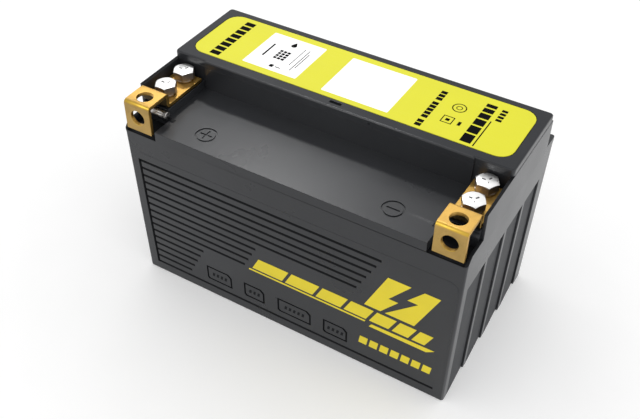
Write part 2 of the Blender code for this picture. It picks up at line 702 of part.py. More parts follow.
def build_bolts(steel):
    seat = STRIP_TOP + STACK_GAP
    under = seat + WASHER_THICKNESS + STACK_GAP
    shank_line = (SHANK_RADIUS, (0, 0, SHANK_END - under), (0, 0, HEAD_HEIGHT / 2))
    shank = rods_mesh("shank_solid", [shank_line], sides=20)
    dome = head_dome()
    ring = bmesh.new()
    add_rod(ring, WASHER_OUTER, (0, 0, 0), (0, 0, WASHER_THICKNESS))
    ring_mesh = finish_mesh("lock_washer", ring, smooth=True)
    above = WASHER_THICKNESS + GAP
    bore_mesh = rods_mesh("washer_bore_cut", [(WASHER_INNER, (0, 0, -GAP), (0, 0, above))])
    slit_mesh = boxes_mesh("washer_slit_cut", [(
        (0, -WASHER_SLIT / 2, -GAP), (WASHER_OUTER + GAP, WASHER_SLIT / 2, above))])
    head = bolt_mesh()
    for pole, side in (("positive", -1), ("negative", 1)):
        for number, y in enumerate(BOLT_Y, start=1):
            place = (side * TERMINAL_X, y, under)
            bolt = put(f"{pole}_bolt_{number}", head, steel, location=place)
            combine(bolt, put("head_dome", dome, location=place), "INTERSECT")
            join(bolt, put("shank_solid", shank, location=place))
            place = (side * TERMINAL_X, y, seat)
            washer = put(f"{pole}_washer_{number}", ring_mesh, steel, location=place)
            cut(washer, put("washer_bore_cut", bore_mesh, location=place),
                put("washer_slit_cut", slit_mesh, location=place))


def build_posts(lead, rubber):
    """Threaded inserts with a stub down to the end cells, and a rubber ring round each stub."""
    middle = sum(BOLT_Y) / 2
    for pole, side in (("positive", -1), ("negative", 1)):
        x = side * TERMINAL_X
        low = (x - POST_LENGTH / 2, POST_FRONT, POST_BOTTOM)
        high = (x + POST_LENGTH / 2, POST_REAR, POST_TOP)
        block = boxes_mesh(f"{pole}_post", [(low, high)])
        post = put(f"{pole}_post", block, lead)
        foot = (side * STUB_X, middle, STUB_BOTTOM)
        stub = [(STUB_RADIUS, foot, (side * STUB_X, middle, POST_BOTTOM + GAP))]
        bores = [(SHANK_HOLE_RADIUS, (x, y, POST_BOTTOM - GAP), (x, y, POST_TOP + GAP)) for y in BOLT_Y]
        join(post, put("stub_solid", rods_mesh("stub_solid", stub, sides=20)))
        cut(post, put("post_bore_cut", rods_mesh("post_bore_cut", bores, sides=16)))
        bpy.ops.mesh.primitive_torus_add(
            major_radius=SEAL_RADIUS, minor_radius=SEAL_THICKNESS, major_segments=24, minor_segments=8)
        torus = bpy.context.object
        seal_mesh = torus.data.copy()
        bpy.data.objects.remove(torus, do_unlink=True)
        seal_mesh.shade_smooth()
        seal_z = POCKET_FLOOR - SEAL_SEAT + GAP + SEAL_THICKNESS
        put(f"{pole}_post_seal", seal_mesh, rubber, location=(side * STUB_X, middle, seal_z))


def build_pins(steel):
    """Cross pins that keep the loose terminal nuts from sliding back under the strip."""
    for pole, side in (("positive", -1), ("negative", 1)):
        ends = sorted((side * PIN_OUTER, side * PIN_INNER))
        pin = rods_mesh(f"{pole}_nut_pin", [(PIN_RADIUS, (ends[0], 0, 0), (ends[1], 0, 0))], sides=20)
        put(f"{pole}_nut_pin", pin, steel, location=(0, PIN_Y, PIN_Z))


def build_caps(rubber):
    """Cup-shaped rubber valve caps, turned about their own axes."""
    profile = (
        (0.0, CAP_TOP), (CAP_RADIUS, CAP_TOP), (CAP_RADIUS, CAP_BOTTOM), (CAP_BORE, CAP_BOTTOM),
        (CAP_BORE, CAP_TOP - CAP_CROWN), (0.0, CAP_TOP - CAP_CROWN),
    )
    bm = bmesh.new()
    line = [bm.verts.new((x, 0, z - CAP_BOTTOM)) for x, z in profile]
    for pair in zip(line, line[1:]):
        bm.edges.new(pair)
    mesh = bpy.data.meshes.new("valve_cap")
    bm.to_mesh(mesh)
    bm.free()
    for index in range(CELLS):
        cap = put(f"valve_cap_{index + 1}", mesh, rubber, location=(cell_centre(index), NECK_Y, CAP_BOTTOM))
        turn = cap.modifiers.new("turn", "SCREW")
        turn.steps = 20
        turn.render_steps = 20
        turn.use_merge_vertices = True
        turn.merge_threshold = 0.00001


def plate_places():
    """Middles of the negative and positive plates across one cell, and the sheet gaps between."""
    stack = NEGATIVE_PLATES * NEGATIVE_PLATE + POSITIVE_PLATES * POSITIVE_PLATE
    sheets = NEGATIVE_PLATES + POSITIVE_PLATES - 1
    space = (CELL_LENGTH - 2 * GAP - stack) / sheets
    negative, positive, gaps = [], [], []
    x = -CELL_LENGTH / 2 + GAP
    for number in range(NEGATIVE_PLATES + POSITIVE_PLATES):
        thickness = POSITIVE_PLATE if number % 2 else NEGATIVE_PLATE
        (positive if number % 2 else negative).append(x + thickness / 2)
        x += thickness
        if number < sheets:
            gaps.append(x + space / 2)
            x += space
    return negative, positive, gaps


def group_meshes(name, middles, thickness, side):
    """Plates of one polarity, the lugs standing on them, and the strap across the lugs."""
    def row(half, reach, low, high, middle=0.0):
        return [((x - half, middle - reach, low), (x + half, middle + reach, high)) for x in middles]

    plates = row(thickness / 2, PLATE_WIDTH / 2, PLATE_BOTTOM, PLATE_TOP)
    y = side * STRAP_Y
    half = STRAP_WIDTH / 2
    lugs = row(LUG_THICKNESS / 2, half - GAP, PLATE_TOP - GAP, STRAP_LOW + GAP, y)
    reach = CELL_LENGTH / 2 - GAP
    strap = ((-reach, y - half, STRAP_LOW), (reach, y + half, STRAP_HIGH))
    named = ((name, plates), (f"{name}_lugs", lugs), (f"{name}_strap", [strap]))
    return [boxes_mesh(label, corners) for label, corners in named]


def separator_mesh(gaps):
    """One glass-mat sheet folded to and fro round the plates, seen from above."""
    half = SEPARATOR / 2
    fold = PLATE_WIDTH / 2 + GAP
    outer = fold + SEPARATOR
    left, right = [], []
    for index, x in enumerate(gaps):
        if index % 2 == 0:
            start = outer if index else fold
            left += [(x - half, -fold), (x - half, outer)]
            right += [(x + half, -start), (x + half, fold)]
        else:
            end = outer if index < len(gaps) - 1 else fold
            left += [(x + half, outer), (x + half, -fold)]
            right += [(x - half, fold), (x - half, -end)]
    return slab_mesh("separator", left + right[::-1], PLATE_BOTTOM + GAP, PLATE_TOP - GAP)


def build_cells(positive_lead, negative_lead, glass_mat):
    """Six cells turned end for end in turn, so that neighbours meet at unlike straps."""
    negative, positive, gaps = plate_places()
    groups = (
        ("positive_plates", group_meshes("positive_plates", positive, POSITIVE_PLATE, -1), positive_lead),
        ("negative_plates", group_meshes("negative_plates", negative, NEGATIVE_PLATE, 1), negative_lead),
    )
    mat = separator_mesh(gaps)
    for index in range(CELLS):
        turn = (0, 0, math.pi * (index % 2))
        place = (cell_centre(index), 0, 0)
        number = index + 1
        for name, (plates, lugs, strap), lead in groups:
            group = put(f"{name}_{number}", plates, lead, location=place, rotation=turn)
            join(group, put(lugs.name, lugs, location=place, rotation=turn),
                 put(strap.name, strap, location=place, rotation=turn))
        put(f"separator_{number}", mat, glass_mat, location=place, rotation=turn)


def build_welds(lead):
    for index in range(CELLS - 1):
        x, y = weld_place(index)
        half = PARTITION / 2
        weld = rods_mesh(f"cell_weld_{index + 1}", [(WELD_RADIUS, (-half, 0, 0), (half, 0, 0))], sides=12)
        put(f"cell_weld_{index + 1}", weld, lead, location=(x, y, WELD_Z))


def main():
    clear_scene()
    plastic = make_material("charcoal_plastic", (0.055, 0.056, 0.060), 0.45)
    film = make_material("yellow_label", (0.87, 0.83, 0.05), 0.35)
    brass = make_material("terminal_brass", (0.80, 0.55, 0.22), 0.30, 1.0)
    steel = make_material("bolt_zinc", (0.80, 0.80, 0.80), 0.25, 1.0)
    lead = make_material("post_lead", (0.38, 0.39, 0.41), 0.50, 1.0)
    positive_lead = make_material("positive_paste", (0.16, 0.08, 0.05), 0.80)
    negative_lead = make_material("negative_paste", (0.30, 0.31, 0.33), 0.70)
    glass_mat = make_material("glass_mat", (0.85, 0.85, 0.82), 0.95)
    rubber = make_material("black_rubber", (0.02, 0.02, 0.02), 0.80)
    build_jar(plastic)
    build_cover(plastic)
    build_top_cover(plastic)
    build_label(film)
    build_terminals(brass)
    build_bolts(steel)
    build_posts(lead, rubber)
    build_pins(steel)
    build_caps(rubber)
    build_cells(positive_lead, negative_lead, glass_mat)
    build_welds(lead)


main()
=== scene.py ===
import json
import math

import bmesh
import bpy
from mathutils import Matrix, Vector

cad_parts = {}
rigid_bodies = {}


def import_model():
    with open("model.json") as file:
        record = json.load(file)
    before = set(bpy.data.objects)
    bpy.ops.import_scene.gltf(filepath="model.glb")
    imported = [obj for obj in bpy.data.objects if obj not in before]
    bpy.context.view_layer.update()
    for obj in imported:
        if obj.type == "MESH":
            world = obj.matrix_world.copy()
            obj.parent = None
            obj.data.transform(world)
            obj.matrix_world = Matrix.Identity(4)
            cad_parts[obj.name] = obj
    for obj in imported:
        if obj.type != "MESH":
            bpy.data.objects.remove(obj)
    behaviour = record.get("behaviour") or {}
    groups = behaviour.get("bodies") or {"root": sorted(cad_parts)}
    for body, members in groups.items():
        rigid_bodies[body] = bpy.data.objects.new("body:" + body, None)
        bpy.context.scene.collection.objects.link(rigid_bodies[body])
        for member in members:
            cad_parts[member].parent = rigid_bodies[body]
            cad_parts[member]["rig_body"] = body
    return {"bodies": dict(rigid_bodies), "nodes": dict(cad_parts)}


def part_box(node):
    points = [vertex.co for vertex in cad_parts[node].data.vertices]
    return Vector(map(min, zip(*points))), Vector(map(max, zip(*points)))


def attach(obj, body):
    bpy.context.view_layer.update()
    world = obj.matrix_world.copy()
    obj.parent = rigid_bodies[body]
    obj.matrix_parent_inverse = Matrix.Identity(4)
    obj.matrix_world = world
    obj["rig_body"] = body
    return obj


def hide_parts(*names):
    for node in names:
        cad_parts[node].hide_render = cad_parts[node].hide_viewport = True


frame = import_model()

MM = 0.001
NODES = frame["nodes"]
ROOT = "battery"


def clear_defaults():
    """Remove whatever the file held before the frame came in."""
    keep = set(NODES.values()) | set(frame["bodies"].values())
    for item in list(bpy.data.objects):
        if item not in keep:
            bpy.data.objects.remove(item, do_unlink=True)


clear_defaults()
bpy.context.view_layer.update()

# Heights read from the frame: the tops of the jar, the cover and the label
JAR_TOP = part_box("case_jar")[1].z
COVER_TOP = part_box("mid_cover")[1].z
LABEL_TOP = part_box("top_label")[1].z

# The drafted walls, and the gap that is welded shut between two mouldings
SHELF_Z = 82.0 * MM
DRAFT = 1.4 * MM
WALL_Y = 42.5 * MM
SEAM = 0.3 * MM
SEAM_LAP = 0.05 * MM

# Where the front's grooves and frames end, and how deep they are cut
FRONT_REACH = 71.5 * MM
FRONT_HIGH = 70.0 * MM
CUT_LEAST = 0.04 * MM
CUT_MOST = 1.2 * MM

# Terminal corner: end wall, notch beside the terminal, and the bent sheet's front plate and riser
END_WALL_X = 73.6 * MM
END_WALL_REAR = -7.0 * MM
NOTCH_X = 59.0 * MM
NOTCH_REAR = -31.0 * MM
NOTCH_FLOOR = 78.5 * MM
PLATE_Y = -42.0 * MM
BEND_Y = -41.0 * MM
PLATE_BACK_Y = -38.0 * MM
RISER_Y = -33.0 * MM
SHEET_LOW_Z = 87.0 * MM

# M5 bolts
HEAD_FLATS = 8.0 * MM
HEAD_HEIGHT = 3.3 * MM
HEAD_ROOM = 0.05 * MM
HEAD_TOP_RADIUS = 3.9 * MM
HEAD_EASE = 0.10 * MM
HEAD_SIDES = 48
THREAD_MAJOR = 2.38 * MM
THREAD_MINOR = 1.98 * MM
THREAD_PITCH = 0.8 * MM
THREAD_ROOM = 0.1 * MM
MARK_TURNS = {1: 184.0, 2: 176.0}

# Printed layers, above the surface that carries them
FRONT_PRINT_LIFT = 0.01 * MM
FRONT_PRINT = 0.05 * MM
BORDER_PRINT = 0.04 * MM
GLYPH_PRINT = 0.06 * MM
LABEL_LIFT = 0.004 * MM
PANEL_LIFT = 0.019 * MM
LABEL_PRINT = 0.015 * MM

# Faces narrower than this are strips, and they bend with neighbours up to this turn in degrees
STRIP_BREADTH = 1.4 * MM
STRIP_TURN = 50.0

# Camera: where it aims, how far off it stands, and its angles in degrees
CAMERA_AIM = Vector((-0.0083, 0.0, 0.0328))
CAMERA_DISTANCE = 0.3942
CAMERA_AZIMUTH = 30.27
CAMERA_ELEVATION = 42.12
CAMERA_ROLL = 0.895
CAMERA_LENS = 50.61

# Studio light
WORLD_STRENGTH = 1.0
FLOOR_GLOW = 0.14
KEY_POWER = 12.0
GLINT_POWER = 5.4
RIM_POWER = 7.0
SIDE_POWER = 8.0
LAMP_AIM = Vector((0, 0, 0.05))
LAMP_DISTANCE = 1.6
SIDE_DISTANCE = 1.2
FLOOR_HALF = 6.0
FLOOR_DROP = 0.0002
WHITE = (1.0, 1.0, 1.0)

# Shader sockets by short name
SOCKETS = {"colour": "Base Color", "roughness": "Roughness", "metallic": "Metallic", "normal": "Normal",
           "level": "Specular IOR Level"}


# ---------------------------------------------------------------- node helpers

class Graph:
    """Short names for the shader nodes that the materials below share."""

    def __init__(self, name):
        self.material = bpy.data.materials.new(name)
        self.material.use_nodes = True
        self.tree = self.material.node_tree
        self.shader = self.tree.nodes["Principled BSDF"]
        self.place = self.tree.nodes.new("ShaderNodeTexCoord").outputs["Object"]

    def node(self, kind, **settings):
        made = self.tree.nodes.new("ShaderNode" + kind)
        for key, value in settings.items():
            setattr(made, key, value)
        return made

    def link(self, source, target):
        self.tree.links.new(source, target)

    def stretched(self, scale):
        mapping = self.node("Mapping")
        mapping.inputs["Scale"].default_value = scale
        self.link(self.place, mapping.inputs["Vector"])
        return mapping.outputs["Vector"]

    def noise(self, scale, detail=3.0, roughness=0.5, vector=None):
        made = self.node("TexNoise")
        made.inputs["Scale"].default_value = scale
        made.inputs["Detail"].default_value = detail
        made.inputs["Roughness"].default_value = roughness
        self.link(vector or self.place, made.inputs["Vector"])
        return made.outputs["Fac"]

    def cells(self, scale, vector=None):
        made = self.node("TexVoronoi")
        made.inputs["Scale"].default_value = scale
        self.link(vector or self.place, made.inputs["Vector"])
        return made.outputs["Distance"]

    def ramp(self, value, stops):
        made = self.node("ValToRGB")
        band = made.color_ramp
        while len(band.elements) < len(stops):
            band.elements.new(0.5)
        for element, (position, colour) in zip(band.elements, stops):
            element.position = position
            element.color = (*colour, 1.0)
        self.link(value, made.inputs["Fac"])
        return made.outputs["Color"]

    def span(self, value, low, high, start=0.3, end=0.7):
        made = self.node("MapRange")
        for key, number in (("From Min", start), ("From Max", end), ("To Min", low), ("To Max", high)):
            made.inputs[key].default_value = number
        self.link(value, made.inputs["Value"])
        return made.outputs["Result"]

    def math(self, operation, first, second):
        made = self.node("Math", operation=operation)
        for socket, value in zip(made.inputs, (first, second)):
            if isinstance(value, (int, float)):
                socket.default_value = value
            else:
                self.link(value, socket)
        return made.outputs["Value"]

    def mix(self, factor, first, second):
        made = self.node("Mix", data_type="RGBA")
        sockets = [made.inputs["Factor"], made.inputs[6], made.inputs[7]]
        for socket, value in zip(sockets, (factor, first, second)):
            if isinstance(value, (int, float)):
                socket.default_value = value
            elif isinstance(value, tuple):
                socket.default_value = (*value, 1.0)
            else:
                self.link(value, socket)
        return made.outputs[2]

    def bump(self, height, strength, distance, below=None):
        made = self.node("Bump")
        made.inputs["Strength"].default_value = strength
        made.inputs["Distance"].default_value = distance
        self.link(height, made.inputs["Height"])
        if below is not None:
            self.link(below, made.inputs["Normal"])
        return made.outputs["Normal"]

    def set(self, **values):
        for key, value in values.items():
            socket = self.shader.inputs[SOCKETS[key]]
            if isinstance(value, (int, float)):
                socket.default_value = value
            elif isinstance(value, tuple):
                socket.default_value = (*value, 1.0)
            else:
                self.link(value, socket)
        return self.material


def shade(base, factor):
    return tuple(channel * factor for channel in base)


# ------------------------------------------------------------------- materials

def plastic(name, base, low=0.25, high=0.33, level=0.33):
    """Moulded polypropylene: fine spark-eroded grain, faint flow clouds and small scuffs."""
    g = Graph(name)
    grain = g.cells(2600.0)
    fine = g.noise(5200.0, detail=2.0)
    cloud = g.noise(38.0, detail=4.0)
    scuff = g.noise(1.0, detail=6.0, roughness=0.7, vector=g.stretched((160.0, 420.0, 260.0)))
    colour = g.ramp(cloud, ((0.30, shade(base, 0.88)), (0.70, shade(base, 1.12))))
    marks = g.span(scuff, 0.0, 1.0, 0.62, 0.82)
    rough = g.math("ADD", g.span(cloud, low, high, 0.2, 0.8), g.math("MULTIPLY", marks, 0.01))
    normal = g.bump(grain, 0.20, 0.00006, g.bump(fine, 0.15, 0.00003))
    worn = g.mix(g.math("MULTIPLY", marks, 0.12), colour, shade(base, 1.4))
    return g.set(colour=worn, roughness=rough, normal=normal, level=level)


def printed(name, base, rough=0.42, level=0.4):
    """Screen-printed ink: slight pinholes and an uneven film."""
    g = Graph(name)
    cloud = g.noise(90.0, detail=3.0)
    pores = g.noise(2800.0, detail=2.0)
    colour = g.ramp(cloud, ((0.3, shade(base, 0.96)), (0.7, shade(base, 1.03))))
    return g.set(colour=colour, roughness=g.span(pores, rough - 0.05, rough + 0.07),
                 normal=g.bump(pores, 0.10, 0.00002), level=level)


def film(name, base, rough=0.46, level=0.3):
    """Laminated polyester label: smooth with faint ripples and fine dust scratches."""
    g = Graph(name)
    ripple = g.noise(55.0, detail=2.0)
    scratch = g.noise(1.0, detail=5.0, roughness=0.65, vector=g.stretched((90.0, 1400.0, 400.0)))
    colour = g.ramp(ripple, ((0.3, shade(base, 0.985)), (0.7, shade(base, 1.01))))
    normal = g.bump(ripple, 0.05, 0.0002, g.bump(scratch, 0.04, 0.00002))
    return g.set(colour=colour, roughness=g.span(scratch, rough, rough + 0.12), normal=normal, level=level)


def brass(name, base):
    """Rolled sheet: fine drawn lines along the strip, warm tarnish clouds and darker spots."""
    g = Graph(name)
    lines = g.noise(1.0, detail=5.0, roughness=0.6, vector=g.stretched((5200.0, 160.0, 160.0)))
    cloud = g.noise(160.0, detail=4.0)
    spots = g.noise(900.0, detail=3.0)
    tone = g.ramp(cloud, ((0.28, shade(base, 0.80)), (0.50, base), (0.74, shade(base, 1.10))))
    colour = g.mix(g.span(spots, 0.0, 0.30, 0.55, 0.75), tone, shade(base, 0.72))
    rough = g.math("ADD", g.span(lines, 0.34, 0.46), g.span(cloud, 0.0, 0.08))
    normal = g.bump(lines, 0.22, 0.00002, g.bump(spots, 0.06, 0.00003))
    return g.set(colour=colour, metallic=1.0, roughness=rough, normal=normal)


def steel(name, base, low, high, turned=False):
    """Bright plated or drawn steel with fine tool marks."""
    g = Graph(name)
    stretch = (240.0, 3800.0, 3800.0) if turned else (900.0, 900.0, 900.0)
    marks = g.noise(1.0, detail=5.0, roughness=0.6, vector=g.stretched(stretch))
    cloud = g.noise(320.0, detail=3.0)
    colour = g.ramp(cloud, ((0.3, shade(base, 0.90)), (0.7, base)))
    return g.set(colour=colour, metallic=1.0, roughness=g.span(marks, low, high),
                 normal=g.bump(marks, 0.12, 0.00002))


def lead(name, base, metallic=1.0):
    """Cast lead or pressed paste: dull, pitted and blotched."""
    g = Graph(name)
    pits = g.cells(700.0)
    cloud = g.noise(120.0, detail=5.0)
    colour = g.ramp(cloud, ((0.3, shade(base, 0.75)), (0.7, shade(base, 1.2))))
    return g.set(colour=colour, metallic=metallic, roughness=g.span(cloud, 0.48, 0.72),
                 normal=g.bump(pits, 0.35, 0.00015))


def mat_fibre(name, base):
    """Absorbent glass mat: felted white fibre."""
    g = Graph(name)
    fibre = g.noise(1.0, detail=6.0, roughness=0.75, vector=g.stretched((1800.0, 500.0, 1800.0)))
    colour = g.ramp(fibre, ((0.3, shade(base, 0.86)), (0.7, base)))
    return g.set(colour=colour, roughness=0.95, normal=g.bump(fibre, 0.5, 0.00015))


def rubber(name, base):
    g = Graph(name)
    speck = g.noise(1500.0, detail=3.0)
    bloom = g.noise(140.0, detail=4.0)
    colour = g.ramp(bloom, ((0.35, base), (0.8, shade(base, 1.9))))
    return g.set(colour=colour, roughness=g.span(bloom, 0.62, 0.82), normal=g.bump(speck, 0.2, 0.00006))


CHARCOAL = (0.0215, 0.0228, 0.0258)
PLASTIC = plastic("charcoal_plastic_grained", CHARCOAL)
MATTE = plastic("charcoal_plastic_matte", CHARCOAL, 0.52, 0.64, 0.22)
LID_RIM = plastic("charcoal_plastic_lid_rim", CHARCOAL, level=0.14)
# Painted shade: a darker, less glossy copy of the plastic for the groove faces, the end-wall tops, the
# notch floors and the icon glyphs
SHADED = plastic("charcoal_plastic_shaded", shade(CHARCOAL, 0.45), 0.55, 0.65, 0.08)
SEAL = plastic("heat_seal_plastic", CHARCOAL)
LABEL = film("label_yellow_film", (0.61, 0.59, 0.013))
PAPER = film("label_white_panel", (0.88, 0.88, 0.88))
PRINT = printed("yellow_print", (0.74, 0.60, 0.014))
INK = printed("black_print", (0.003, 0.003, 0.0035), 0.70, 0.03)
BRASS = brass("rolled_brass", (0.56, 0.345, 0.090))
# Painted shade: a darker brass for the terminal's front plate
BRASS_FRONT_SHADE = brass("brass_front_painted_shade", (0.41, 0.272, 0.090))
# Painted highlight: a more saturated brass for the bend between the top and front plates
BRASS_BEND_HIGHLIGHT = brass("brass_bend_painted_highlight", (0.50, 0.325, 0.050))
# Painted shade: a near-black brass for the underside and inner faces of the terminal
BRASS_INSIDE_SHADE = brass("brass_inside_painted_shade", (0.060, 0.042, 0.018))
ZINC = steel("bright_zinc", (0.90, 0.90, 0.89), 0.26, 0.38)
# Painted shade and a painted brass reflection: a darker, warm-tinted zinc for the hex flanks and the lock
# rings
ZINC_SIDE_SHADE = steel("zinc_side_painted_shade", (0.36, 0.31, 0.27), 0.34, 0.46)
# Painted shade: near-black slabs that stand for the shade inside stamped marks
STAMP_SHADE = printed("stamped_mark_painted_shade", (0.045, 0.045, 0.05), 0.6, 0.1)
PIN = steel("drawn_pin_steel", (0.60, 0.58, 0.56), 0.22, 0.36, turned=True)
LEAD = lead("cast_lead", (0.36, 0.37, 0.39))
BROWN_PASTE = lead("positive_paste", (0.15, 0.075, 0.05), 0.0)
GREY_PASTE = lead("negative_paste", (0.28, 0.29, 0.31), 0.0)
GLASS_MAT = mat_fibre("glass_mat", (0.82, 0.82, 0.79))
RUBBER = rubber("black_rubber", (0.016, 0.016, 0.017))


# ------------------------------------------------------------- geometry helpers

def add_object(name, bm, material, body=ROOT, smooth=None):
    mesh = bpy.data.meshes.new(name)
    bmesh.ops.recalc_face_normals(bm, faces=bm.faces)
    bm.to_mesh(mesh)
    bm.free()
    if smooth is not None:
        mesh.shade_smooth()
        mesh.set_sharp_from_angle(angle=math.radians(smooth))
    mesh.materials.append(material)
    piece = bpy.data.objects.new(name, mesh)
    bpy.context.scene.collection.objects.link(piece)
    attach(piece, body)
    return piece


def add_slab(bm, ring, matrix, thickness):
    """Raise a flat outline, given in millimetres, off the plane that the matrix sets."""
    base = bm.faces.new([bm.verts.new(matrix @ Vector((u * MM, v * MM, 0.0))) for u, v in ring])
    grown = bmesh.ops.extrude_face_region(bm, geom=[base])["geom"]
    raised = [item for item in grown if isinstance(item, bmesh.types.BMVert)]
    rise = matrix.to_3x3() @ Vector((0, 0, thickness))
    bmesh.ops.translate(bm, verts=raised, vec=rise)


def arc(centre, radius, start, end, steps=6):
    points = []
    for step in range(steps + 1):
        angle = math.radians(start + (end - start) * step / steps)
        points.append((centre[0] + radius * math.cos(angle), centre[1] + radius * math.sin(angle)))
    return points


def rounded(low, high, radius, steps=4):
    """Outline of a rectangle with round corners, in millimetres."""
    (x0, y0), (x1, y1) = low, high
    corners = (((x1 - radius, y1 - radius), 0), ((x0 + radius, y1 - radius), 90),
               ((x0 + radius, y0 + radius), 180), ((x1 - radius, y0 + radius), 270))
    points = []
    for centre, start in corners:
        points += arc(centre, radius, start, start + 90, steps)
    return points


def slanted(x, z, width, height, lean=0.5):
    """A parallelogram that leans to the right as it rises."""
    shift = lean * height
    return [(x, z), (x + width, z), (x + width + shift, z + height), (x + shift, z + height)]


def breadth(face):
    """How wide a face is across, which tells a narrow strip from a broad wall."""
    return 2.0 * face.calc_area() / face.calc_perimeter()


def even_normals(bm):
    """One normal per face corner: broad walls stay flat, and narrow strips bend between them."""
    limit = math.radians(STRIP_TURN)
    broad = {face: breadth(face) > STRIP_BREADTH for face in bm.faces}
    normals = []
    for face in bm.faces:
        for corner in face.loops:
            near = [other for other in corner.vert.link_faces
                    if other.normal.length > 0.5 and face.normal.angle(other.normal, math.pi) < limit]
            walls = [other for other in near if broad[other]]
            total = Vector()
            for other in ([face] if broad[face] else walls or near):
                total += other.normal
            normals.append(total.normalized() if total.length > 0 else Vector((0, 0, 1)))
    return normals


def clean_shell(node, material, width, name, angle=35.0, keep=None, others=(), split=False):
    """The CAD node's own shape with its seams merged and its outer edges eased, standing for the node.

    keep says which edges stay sharp, others are further materials, each with the test for its faces, and
    split cuts hollow outlines into plain ones.
    """
    bm = bmesh.new()
    bm.from_mesh(NODES[node].data)
    bmesh.ops.remove_doubles(bm, verts=bm.verts, dist=1e-6)
    bmesh.ops.dissolve_limit(bm, angle_limit=math.radians(0.2), verts=bm.verts, edges=bm.edges)
    chosen = []
    for edge in bm.edges:
        if len(edge.link_faces) == 2 and edge.is_convex and edge.calc_face_angle() > math.radians(angle):
            if not keep or not keep((edge.verts[0].co + edge.verts[1].co) / 2):
                chosen.append(edge)
    bmesh.ops.bevel(bm, geom=chosen, offset=width, segments=2, profile=0.5, affect="EDGES",
                    clamp_overlap=False)
    if split:
        bmesh.ops.connect_verts_concave(bm, faces=bm.faces)
    bmesh.ops.recalc_face_normals(bm, faces=bm.faces)
    bm.normal_update()
    for face in bm.faces:
        face.material_index = 0
        for index, (_, test) in enumerate(others, start=1):
            if test(face):
                face.material_index = index
    normals = even_normals(bm)
    piece = add_object(name, bm, material, NODES[node]["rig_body"], smooth=40.0)
    piece.data.normals_split_custom_set(normals)
    for other, _ in others:
        piece.data.materials.append(other)
    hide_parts(node)
    return piece


def paint(node, material):
    """A better material on a CAD node whose shape stays."""
    piece = NODES[node]
    for socket in piece.material_slots:
        socket.material = material


# --------------------------------------------------------------- case and cover

def on_front_or_rim(middle):
    """The rounded base, the sealed rim, groove and frame edges on the front, and edges inside the jar."""
    if middle.z > JAR_TOP - 0.1 * MM or middle.z < 1.2 * MM:
        return True
    if abs(middle.x) < FRONT_REACH and middle.z < FRONT_HIGH and abs(middle.y) > 39.0 * MM:
        return True
    return abs(middle.x) < 73.0 * MM and abs(middle.y) < 40.5 * MM


def is_panel_ramp(face):
    """The sloping floors of the moulded panels on both ends."""
    return abs(face.normal.x) > 0.99 and abs(face.normal.y) > 0.03


def is_groove(face):
    """Floors and sides of the grooves and frames that are cut into the drafted front, which get the
    darkened plastic as painted shade.
    """
    spot = face.calc_center_median()
    wall = DRAFT * (1 - spot.z / SHELF_Z) - WALL_Y
    return abs(spot.x) < FRONT_REACH and spot.z < FRONT_HIGH and CUT_LEAST < spot.y - wall < CUT_MOST


def faces_up(face):
    return face.normal.z > 0.9


def is_out_of_light(face):
    """The narrow tops of the end walls beside the terminals, and the notch floors under them, which get the
    darkened plastic as painted shade.
    """
    spot = face.calc_center_median()
    if face.normal.z > 0.5 and abs(spot.x) > END_WALL_X and spot.y < END_WALL_REAR:
        return True
    return faces_up(face) and abs(spot.x) > NOTCH_X and spot.y < NOTCH_REAR and spot.z < NOTCH_FLOOR


# The terminal's front plate, which gets the darker brass as painted shade
def is_front_plate(face):
    return face.normal.y < -0.9 and face.calc_center_median().y < PLATE_Y


def is_bend(face):
    """The rounded bend between the top and front plates, which gets a more saturated brass as a painted
    highlight.
    """
    return face.normal.y < -0.25 and face.normal.z > 0.25 and face.calc_center_median().y < BEND_Y


def is_inside_terminal(face):
    """The underside and inner faces of the bent sheet, which no light reaches; they get a near-black brass
    as painted shade.
    """
    spot = face.calc_center_median()
    if spot.z < SHEET_LOW_Z and spot.y > -40.0 * MM or face.normal.z < -0.5:
        return True
    return face.normal.y < -0.9 and spot.y > RISER_Y or face.normal.y > 0.9 and spot.y < PLATE_BACK_Y


def cover_stays_sharp(middle):
    """The sealed lower rim, everything under the shelf, and the engraved marks."""
    if middle.z < JAR_TOP + 0.8 * MM or middle.z > COVER_TOP - 0.1 * MM and middle.y > -6.0 * MM:
        return True
    return abs(middle.x) < 50.0 * MM and middle.y < -25.0 * MM and middle.y > -40.0 * MM


def lid_stays_sharp(middle):
    return middle.z < LABEL_TOP - 1.0 * MM and abs(middle.y) < 30.0 * MM and abs(middle.x) < 70.0 * MM


def build_shells():
    clean_shell("case_jar", PLASTIC, 0.16 * MM, "jar_shell", keep=on_front_or_rim,
                others=((MATTE, is_panel_ramp), (SHADED, is_groove)))
    clean_shell("mid_cover", PLASTIC, 0.14 * MM, "cover_shell", keep=cover_stays_sharp,
                others=((SHADED, is_out_of_light),), split=True)
    clean_shell("top_cover", PLASTIC, 0.12 * MM, "lid_shell", keep=lid_stays_sharp,
                others=((LID_RIM, faces_up),))
    for pole in ("positive", "negative"):
        clean_shell(f"{pole}_terminal", BRASS, 0.14 * MM, f"{pole}_terminal_sheet", angle=40.0,
                    others=((BRASS_FRONT_SHADE, is_front_plate), (BRASS_BEND_HIGHLIGHT, is_bend),
                            (BRASS_INSIDE_SHADE, is_inside_terminal)))
        clean_shell(f"{pole}_nut_pin", PIN, 0.25 * MM, f"{pole}_pin_rod", angle=50.0)
        for number in (1, 2):
            clean_shell(f"{pole}_washer_{number}", ZINC_SIDE_SHADE, 0.10 * MM,
                        f"{pole}_lock_ring_{number}", angle=50.0)


def ring_band(name, outside, inside, low, high):
    """A closed flat-sided band between two outlines, flush with the walls that it joins."""
    bm = bmesh.new()
    rows = []
    for outline, z in ((outside, low), (outside, high), (inside, high), (inside, low)):
        rows.append([bm.verts.new((x * MM, y * MM, z)) for x, y in outline])
    count = len(outside)
    for first, second in zip(rows, rows[1:] + rows[:1]):
        for index in range(count):
            following = (index + 1) % count
            bm.faces.new((first[index], first[following], second[following], second[index]))
    add_object(name, bm, SEAL)


